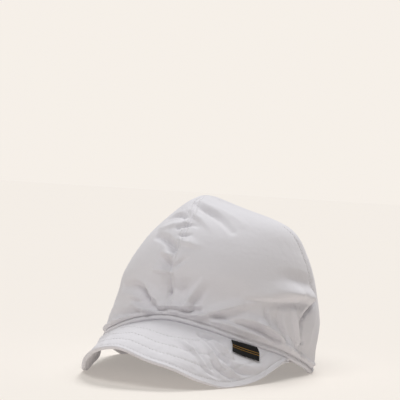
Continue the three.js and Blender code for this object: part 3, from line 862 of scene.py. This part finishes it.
def brim_up(share, out):
    """The brim's upward direction, which is vertical at the joint."""
    out = np.asarray(out, float)
    across = brim_line(share + 0.01, out) - brim_line(share - 0.01, out)
    down = brim_line(share, np.minimum(out + 0.01, 1)) - brim_line(share, np.maximum(out - 0.01, 0))
    upright = 1 - smoothstep(0, joint_zone, out)[..., None]
    return unit(unit(np.cross(down, across)) * (1 - upright) + np.array([0, 0, 1]) * upright)


def brim_length(share):
    return np.linalg.norm(brim_line(share, 0 * share + 1) - brim_line(share, 0 * share), axis=-1)


def brim_plain(share, out):
    """The brim's underside, bellied but not quilted, and its upward direction."""
    share, out = np.broadcast_arrays(np.asarray(share, float), np.asarray(out, float))
    up = brim_up(share, out)
    belly = spline(BRIM, "bow", share) * brim_length(share) * 4 * out * (1 - out)
    return brim_line(share, out) + belly[..., None] * up, up


def brim_place(share, out):
    return brim_plain(share, out)[0]


edge_line = brim_place(np.linspace(-1, 1, 500), np.ones(500))


def from_edge(points):
    """Each point's distance to the brim's edge."""
    nearest = np.full(len(points), np.inf)
    for first, second in zip(edge_line[:-1], edge_line[1:]):
        step = second - first
        share = np.clip((points - first) @ step / (step @ step), 0, 1)
        off = points - first - share[:, None] * step
        nearest = np.minimum(nearest, (off * off).sum(1))
    return np.sqrt(nearest)


def under_label(share, out):
    """1 where the label lies, where the quilting is pressed flat."""
    aside = (share * brim_half_angle - label_angle) * length_per_degree(label_angle, 0)
    down = out * brim_length(share) - label_setback
    middle = label_swing * np.clip(down / label_drop, 0, 1)
    beside = 1 - smoothstep(label_width / 2, label_width / 2 + label_margin, np.abs(aside - middle))
    within = smoothstep(-label_margin, 0, down)
    within *= 1 - smoothstep(label_drop, label_drop + label_margin, down)
    return beside * within


def quilting(share, out, plain, up):
    """How far the quilted cloth moves from the plain brim."""
    inward = from_edge(plain)
    lift = np.zeros(len(plain))
    drawn = np.zeros(len(plain))
    for row in QUILT_ROWS:
        held = light_press + (1 - light_press) * smoothstep(*press_zone, share)
        if row == QUILT_ROWS[0]:
            held = 1
        lift -= held * quilt_depth * bump(inward - row, quilt_reach)
        lift -= held * quilt_groove * bump(inward - row, quilt_groove_reach)
        drawn = np.maximum(drawn, bump(inward - row, drag_reach))
    along = share * brim_half_angle * length_per_degree(0, 0)
    drag = np.array([
        noise.noise(Vector((a / drag_width, d / drag_length, 0.3)), noise_basis="PERLIN_NEW")
        for a, d in zip(along, inward)
    ])
    lift += drag_depth * drag * (drag_calm + (1 - drag_calm) * drawn)
    lift += brim_crumple_depth * (crinkle(plain, brim_crumple_size, 2, shift=90) - crumple_level)
    free = smoothstep(0, joint_hold, out) * smoothstep(*edge_hold, inward)
    free = free * (1 - under_label(share, out))
    folds = folds_at(plain, up, RIPPLES, brim_place)
    return (lift[:, None] * up + folds) * free[:, None]

end_share = edge_radius / (brim_half_angle * length_per_degree(0, 0))
turns = np.linspace(0, math.pi / 2, edge_steps + 1)
end_rows = 1 - end_share * (1 - np.sin(turns))
shares = np.concatenate([
    -end_rows[::-1],
    np.linspace(-1 + end_share, 1 - end_share, brim_columns)[1:-1],
    end_rows,
])[:, None]
lengths = brim_length(shares)
flat_rows = np.linspace(0, 1, brim_rows)[None, :-1] * (1 - edge_radius / lengths)
round_rows = 1 - edge_radius / lengths * (1 - np.sin(turns))[None, :]
tucked = -brim_tuck / lengths
outs = np.concatenate([tucked, flat_rows, round_rows], axis=1)
share_grid = shares + 0 * outs
half_brim = brim_thickness / 2
inset_out = np.clip((1 - outs) * lengths, 0, edge_radius)
inset_end = np.clip((1 - np.abs(share_grid)) / end_share * edge_radius, 0, edge_radius)
inset = np.minimum(inset_out, inset_end) / edge_radius
roundness = np.sqrt(np.clip(1 - (1 - inset) ** 2, 0, 1))
fullness = (edge_fullness + (1 - edge_fullness) * roundness) * half_brim

flat_share, flat_out = share_grid.ravel(), np.clip(outs, 0, 1).ravel()
plain, up = brim_plain(flat_share, flat_out)
inside = np.clip(outs, None, 0).ravel()[:, None] * lengths.repeat(outs.shape[1], 1).reshape(-1, 1)
towards_head = crown_outward(flat_share * brim_half_angle, 0 * flat_share)
towards_head[:, 2] = 0
middle = plain + half_brim * up + quilting(flat_share, flat_out, plain, up) + inside * unit(towards_head)
middle += (edge_turn * half_brim * (1 - inset_out / edge_radius)).reshape(-1, 1) * up
top = middle + fullness.reshape(-1, 1) * up
under = middle - fullness.reshape(-1, 1) * up
under[:, 2] = np.maximum(under[:, 2], 0)
top[:, 2] = np.maximum(top[:, 2], under[:, 2] + least_thickness)
brim_uvs = cloth_uvs(top.reshape(*outs.shape, 3))
brim = mesh_piece(
    "brim_quilted",
    np.concatenate([under, top]),
    sheet_faces(*outs.shape),
    np.concatenate([brim_uvs, brim_uvs]),
    cotton,
)
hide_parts("brim")
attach(brim, "root")

# The label.
# A small black woven tab lies on the brim's left side, sewn down at its two ends. It is bare but for
# two thin gold threads woven across it.
label_columns = 70
label_rows = 46
label_edge = 0.5
gold_lines = [5.6, 8.2]
gold_line_width = 0.7
label_lift = 0.5
label_arch = 0.2


def label_shape(across, down):
    """The share and out of a place on the label."""
    per_degree = length_per_degree(label_angle, 0)
    aside = label_width * (across - 0.5) + label_swing * down
    share = (label_angle + aside / per_degree) / brim_half_angle
    setback = label_setback - label_tilt * (across - 0.5)
    return share, (setback + label_drop * down) / brim_length(share)


def label_curl(across, down):
    """How far the label stands off the brim, most at its lower corners."""
    lifted = label_lift * down**3 * (0.4 + 0.6 * (2 * across - 1) ** 2)
    return lifted + label_arch * np.sin(math.pi * across)


def woven_label():
    """Dense black weave, ribbed across, with gold threads."""
    material, shader, start = start_material(
        "black_woven", Roughness=0.75, Specular_IOR_Level=0.2
    )
    cloth = start.node("ShaderNodeUVMap", {"uv_map": "cloth"})
    u = start.node("ShaderNodeSeparateXYZ", i0=cloth)
    v = u.output(1)
    rib, pick = 0.55 * mm, 0.28 * mm
    weave = (u * (math.pi / pick)).sine() * (v * (math.pi / rib)).sine()
    gold = None
    for line in gold_lines:
        off = (v - line * mm).size()
        on = 1 - off.above(gold_line_width / 2 * mm)
        gold = on if gold is None else gold + on
    fray = start.node("ShaderNodeTexNoise", Vector=cloth, Scale=2600.0, Detail=2.0)
    dark = fray.mix((0.004, 0.004, 0.004), (0.014, 0.013, 0.012))
    thread = fray.mix((0.26, 0.13, 0.015), (0.45, 0.25, 0.04))
    colour = gold.mix(dark, thread)
    colour.feed(shader, "Base Color")
    raised = start.node(
        "ShaderNodeBump", Strength=0.7, Distance=0.12 * mm, Height=weave + gold * 0.8 + fray * 0.4
    )
    raised.feed(shader, "Normal")
    return material


label_grid = np.meshgrid(np.linspace(0, 1, label_columns), np.linspace(0, 1, label_rows), indexing="ij")
across_label, down_label = (places.ravel() for places in label_grid)
share_l, out_l = label_shape(across_label, down_label)
lies_on, label_up = brim_plain(share_l, out_l)
from_side = np.minimum(across_label, 1 - across_label) * label_width
from_end = np.minimum(down_label, 1 - down_label) * label_drop
inset = np.clip(np.minimum(from_side, from_end) / label_edge, 0, 1)
swell = label_thickness / 2 * (0.25 + 0.75 * np.sqrt(1 - (1 - inset) ** 2))
curl = label_curl(across_label, down_label)
level = brim_thickness + label_clearance + label_thickness / 2 + curl
label_top = lies_on + (level + swell)[:, None] * label_up
label_under = lies_on + (level - swell)[:, None] * label_up
label_uvs = np.stack([across_label * label_width, down_label * label_drop], -1)
label = mesh_piece(
    "label_tab",
    np.concatenate([label_under, label_top]),
    sheet_faces(label_columns, label_rows),
    np.concatenate([label_uvs, label_uvs]),
    woven_label(),
)
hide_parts("label")
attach(label, "root")

# The stitching.
# White thread holds the panels' seams with a row on each side, the hem's roll with one row, and the
# quilted brim with a row in each groove. Black thread holds the label's two ends.
stitch_pitch = 2.8
stitch_length = 2.1
thread_width = 0.42
thread_lift = 0.12
brim_thread_lift = 0.1
label_thread_lift = 0.06
seam_stitch_start = 2.5
seam_stitch_end = 0.95


def stitching_tree():
    """Geometry Nodes that lay a stitch at every pitch along the lines of a wire mesh."""
    tree = bpy.data.node_groups.new("stitching", "GeometryNodeTree")
    face = tree.interface
    face.new_socket("Lines", in_out="INPUT", socket_type="NodeSocketGeometry")
    for name in ("Pitch", "Length", "Width"):
        face.new_socket(name, in_out="INPUT", socket_type="NodeSocketFloat")
    face.new_socket("Thread", in_out="INPUT", socket_type="NodeSocketMaterial")
    face.new_socket("Stitches", in_out="OUTPUT", socket_type="NodeSocketGeometry")

    def node(kind, settings=None, **inputs):
        made = tree.nodes.new(kind)
        for key, value in (settings or {}).items():
            setattr(made, key, value)
        for key, value in inputs.items():
            socket = made.inputs[key.replace("_", " ")]
            if isinstance(value, bpy.types.NodeSocket):
                tree.links.new(value, socket)
            else:
                socket.default_value = value
        return made

    given = node("NodeGroupInput").outputs
    lines = node("GeometryNodeMeshToCurve", Mesh=given["Lines"]).outputs["Curve"]
    spaced = node("GeometryNodeResampleCurve", {"mode": "LENGTH"}, Curve=lines, Length=given["Pitch"])
    tangent = node("GeometryNodeInputTangent").outputs["Tangent"]
    turned = node("FunctionNodeAlignRotationToVector", {"axis": "X"}, Vector=tangent)
    halves = {}
    for name in ("Length", "Width"):
        halved = node("ShaderNodeMath", {"operation": "MULTIPLY"})
        tree.links.new(given[name], halved.inputs[0])
        halved.inputs[1].default_value = 0.5
        halves[name] = halved.outputs[0]
    size = node("ShaderNodeCombineXYZ", X=halves["Length"], Y=halves["Width"], Z=halves["Width"])
    grain = node("GeometryNodeMeshUVSphere", Segments=6, Rings=4, Radius=1.0)
    laid = node(
        "GeometryNodeInstanceOnPoints",
        Points=spaced.outputs["Curve"], Instance=grain.outputs["Mesh"],
        Rotation=turned.outputs["Rotation"], Scale=size.outputs["Vector"],
    )
    real = node("GeometryNodeRealizeInstances", Geometry=laid.outputs["Instances"])
    smooth = node("GeometryNodeSetShadeSmooth", Geometry=real.outputs["Geometry"])
    finished = node(
        "GeometryNodeSetMaterial", Geometry=smooth.outputs["Geometry"], Material=given["Thread"]
    )
    result = node("NodeGroupOutput")
    tree.links.new(finished.outputs["Geometry"], result.inputs["Stitches"])
    return tree


def thread_material(name, colour, roughness):
    """Twisted thread: fine slanting plies on a soft sheen."""
    material, shader, start = start_material(name, Roughness=roughness, Sheen_Weight=0.15)
    place = start.node("ShaderNodeTexCoord", out=3)
    plies = start.node("ShaderNodeTexWave", Vector=place, Scale=2600.0, Distortion=2.0)
    tint = plies.mix([c * 0.92 for c in colour], colour)
    tint.feed(shader, "Base Color")
    raised = start.node("ShaderNodeBump", Strength=0.4, Distance=0.08 * mm, Height=plies)
    raised.feed(shader, "Normal")
    return material


stitching = stitching_tree()


def sew(name, lines, material, pitch=stitch_pitch, length=stitch_length, width=thread_width):
    """Stitches along lines of points in millimetres, as one plain mesh."""
    points = np.concatenate(lines)
    edges, start = [], 0
    for line in lines:
        edges += [(start + i, start + i + 1) for i in range(len(line) - 1)]
        start += len(line)
    wire = bpy.data.meshes.new(name + "_lines")
    wire.from_pydata(((points + seat) * mm).tolist(), edges, [])
    guide = bpy.data.objects.new(name + "_lines", wire)
    bpy.context.scene.collection.objects.link(guide)
    modifier = guide.modifiers.new("stitches", "NODES")
    modifier.node_group = stitching
    given = {s.name: s.identifier for s in stitching.interface.items_tree if s.in_out == "INPUT"}
    modifier[given["Pitch"]] = pitch * mm
    modifier[given["Length"]] = length * mm
    modifier[given["Width"]] = width * mm
    modifier[given["Thread"]] = material
    bpy.context.view_layer.update()
    view = bpy.context.evaluated_depsgraph_get()
    mesh = bpy.data.meshes.new_from_object(guide.evaluated_get(view), depsgraph=view)
    bpy.data.objects.remove(guide)
    piece = bpy.data.objects.new(name, mesh)
    bpy.context.scene.collection.objects.link(piece)
    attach(piece, "root")


seam_lines = []
for side in SIDES:
    for turn in (-1, 1):
        start = float(way_at(band_height + seam_stitch_start, SIDES[side]))
        way = np.linspace(start, seam_stitch_end, 260)
        middle_angle = seam_angle(side, way)
        angle = middle_angle + turn * stitch_offset / length_per_degree(middle_angle, way)
        line, outward = crown_surface(angle, way)
        seam_lines.append(line + thread_lift * outward)

hem_angles = np.linspace(-180, 180, 721)
outer_side = (ROLL["height"][:outer_rows], ROLL["out"][:outer_rows])
groove_out = float(np.interp(band_stitch_height, *outer_side)) + thread_lift
hem_line = band_point(hem_angles, 0 * hem_angles + band_stitch_height, groove_out + 0 * hem_angles)

brim_lines = []
edge_shares = np.linspace(-0.99, 0.99, 320)
out_steps = np.linspace(0.03, 0.99, 90)
fine_share, fine_out = np.meshgrid(edge_shares, out_steps, indexing="ij")
fine_plain = brim_place(fine_share.ravel(), fine_out.ravel())
inward = from_edge(fine_plain).reshape(fine_share.shape)
for row in QUILT_ROWS:
    reached = (inward[:, 0] > row) & (inward[:, -1] < row)
    row_share = edge_shares[reached]
    row_out = np.array([np.interp(-row, -inward[i], out_steps) for i in np.flatnonzero(reached)])
    flat, upward = brim_plain(row_share, row_out)
    quilted = flat + quilting(row_share, row_out, flat, upward) + half_brim * upward
    for face in (1, -1):
        brim_lines.append(quilted + face * (half_brim + brim_thread_lift) * upward)

white_thread = thread_material("white_thread", (0.82, 0.81, 0.81), 0.7)
sew("seam_stitching", seam_lines, white_thread)
sew("hem_stitching", [hem_line], white_thread)
sew("brim_stitching", brim_lines, white_thread)

label_lines = []
for end in (0.045, 0.955):
    down = np.linspace(0.06, 0.94, 30)
    share, out = label_shape(0 * down + end, down)
    flat, upward = brim_plain(share, out)
    height = brim_thickness + label_clearance + label_thickness + label_curl(end, down)
    height += label_thread_lift
    label_lines.append(flat + height[:, None] * upward)
black_thread = thread_material("black_thread", (0.02, 0.02, 0.022), 0.6)
sew("label_stitching", label_lines, black_thread, pitch=1.9, length=1.4, width=0.34)

# The stage.
# A wide pale floor runs off to a background of its own brightness, under soft overhead light.
cream = (0.921, 0.870, 0.811)
floor_reach = 12


def pale_floor():
    """Pale floor that glows with painted light of its own, which lightens the shadow under the cap and
    lights the cap's underside.
    """
    material, shader, start = start_material(
        "pale_floor", Roughness=1.0, Specular_IOR_Level=0.0,
        # The emission is a painted glow: the floor gives light though it is no lamp.
        Emission_Color=(*cream, 1), Emission_Strength=0.285,
    )
    place = start.node("ShaderNodeTexCoord", out=3)
    drift = start.node("ShaderNodeTexNoise", Vector=place, Scale=1.5, Detail=2.0)
    colour = drift.mix((0.617, 0.583, 0.543), (0.623, 0.588, 0.548))
    colour.feed(shader, "Base Color")
    return material


floor_mesh = bpy.data.meshes.new("floor")
corners = [(x * floor_reach, y * floor_reach, 0) for x, y in ((-1, -1), (1, -1), (1, 1), (-1, 1))]
floor_mesh.from_pydata(corners, [], [(0, 1, 2, 3)])
floor_mesh.materials.append(pale_floor())
floor = bpy.data.objects.new("floor", floor_mesh)
bpy.context.scene.collection.objects.link(floor)

world = bpy.data.worlds.new("studio")
bpy.context.scene.world = world
world.use_nodes = True
studio = world.node_tree
studio.nodes.clear()
ambient = studio.nodes.new("ShaderNodeBackground")
ambient.inputs["Color"].default_value = (1.0, 0.985, 0.985, 1)
ambient.inputs["Strength"].default_value = 0.20
seen = studio.nodes.new("ShaderNodeBackground")
seen.inputs["Color"].default_value = (*cream, 1)
choice = studio.nodes.new("ShaderNodeMixShader")
ray = studio.nodes.new("ShaderNodeLightPath")
output = studio.nodes.new("ShaderNodeOutputWorld")
studio.links.new(ray.outputs["Is Camera Ray"], choice.inputs["Fac"])
studio.links.new(ambient.outputs["Background"], choice.inputs[1])
studio.links.new(seen.outputs["Background"], choice.inputs[2])
studio.links.new(choice.outputs["Shader"], output.inputs["Surface"])


def soft_light(name, direction, power, spread):
    """Parallel light with a soft edge, from a direction given as a vector towards the light."""
    lamp = bpy.data.lights.new(name, "SUN")
    lamp.energy = power
    lamp.angle = math.radians(spread)
    light = bpy.data.objects.new(name, lamp)
    light.rotation_mode = "QUATERNION"
    light.rotation_quaternion = Vector(direction).to_track_quat("Z", "Y")
    bpy.context.scene.collection.objects.link(light)


soft_light("front_light", (-0.10, -0.53, 0.85), 1.1, 35)
soft_light("back_light", (0, 0.53, 0.85), 2.0, 35)

# The camera sees the cap from a little above, from the wearer's left of its front. The cap's own
# origin shows origin_across and origin_down pixels from the picture's top left corner.
camera_azimuth = 19.8
camera_elevation = 6.85
camera_roll = 3.4
camera_distance = 1300
picture_scale = 1.21
picture_size = 400
origin_across = 208.7
origin_down = 364.7
lens_pixels = picture_scale * camera_distance

azimuth, elevation, roll = (
    math.radians(a) for a in (camera_azimuth, camera_elevation, camera_roll)
)
back = Vector((
    math.sin(azimuth) * math.cos(elevation),
    -math.cos(azimuth) * math.cos(elevation),
    math.sin(elevation),
))
level = Vector((math.cos(azimuth), math.sin(azimuth), 0))
upright = back.cross(level)
across_view = level * math.cos(roll) + upright * math.sin(roll)
up_view = upright * math.cos(roll) - level * math.sin(roll)
eye = back * camera_distance
aim = (
    across_view * (picture_size / 2 - origin_across) / picture_scale
    + up_view * (origin_down - picture_size / 2) / picture_scale
)
ahead = (aim - eye).normalized()
right = (across_view - ahead * across_view.dot(ahead)).normalized()
above = right.cross(ahead)
camera_data = bpy.data.cameras.new("camera")
camera_data.sensor_width = 36
camera_data.lens = camera_data.sensor_width * lens_pixels / picture_size
camera = bpy.data.objects.new("camera", camera_data)
turn = Matrix((right, above, -ahead)).transposed()
camera.matrix_world = Matrix.Translation((eye + Vector(seat)) * mm) @ turn.to_4x4()
bpy.context.scene.collection.objects.link(camera)
bpy.context.scene.camera = camera
bpy.context.scene.view_settings.view_transform = "Standard"
